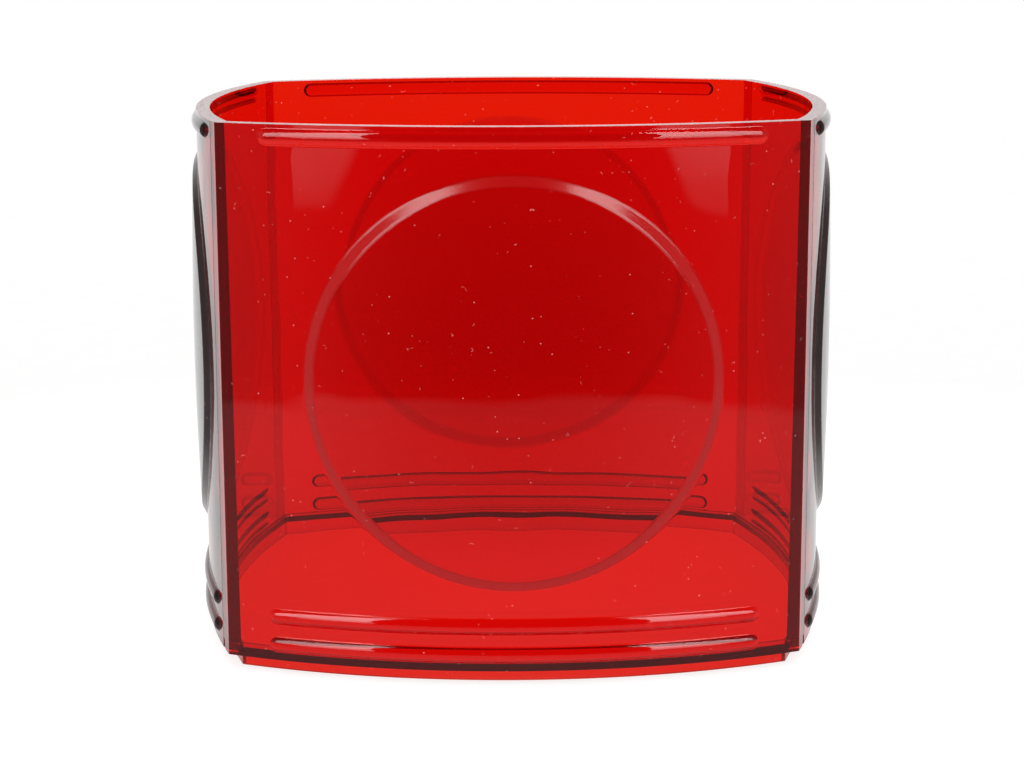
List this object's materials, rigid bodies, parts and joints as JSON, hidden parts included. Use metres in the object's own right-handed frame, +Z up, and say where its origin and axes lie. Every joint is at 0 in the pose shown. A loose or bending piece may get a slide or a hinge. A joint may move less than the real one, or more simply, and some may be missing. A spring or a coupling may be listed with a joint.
{
  "type": "darkroom safelight shade",
  "caption": "Squarish clear red moulded shade of a darkroom safelight, open top and bottom, with bowed walls, raised round discs, half-round beads and a lip inside the foot.",
  "frame": {"origin": "middle of the footprint, at the lower edge of the lip that the shade stands on", "axes": "+Z up through the open tube, front panel faces -Y, +X to the right of someone facing the front panel"},
  "size_m": [0.154, 0.1484, 0.1243],
  "materials": {
    "red_acrylic": "clear, glossy, moulded",
    "cement": "dark set cement"
  },
  "bodies": {
    "root": {"front_panel": "red_acrylic", "right_panel": "red_acrylic", "back_panel": "red_acrylic", "left_panel": "red_acrylic", "front_lip": "red_acrylic", "right_lip": "red_acrylic", "back_lip": "red_acrylic", "left_lip": "red_acrylic", "front_lip_cement": "cement", "right_lip_cement": "cement", "back_lip_cement": "cement", "left_lip_cement": "cement", "right_front_seam": "cement", "right_back_seam": "cement", "left_front_seam": "cement", "left_back_seam": "cement"}
  },
  "joints": []
}
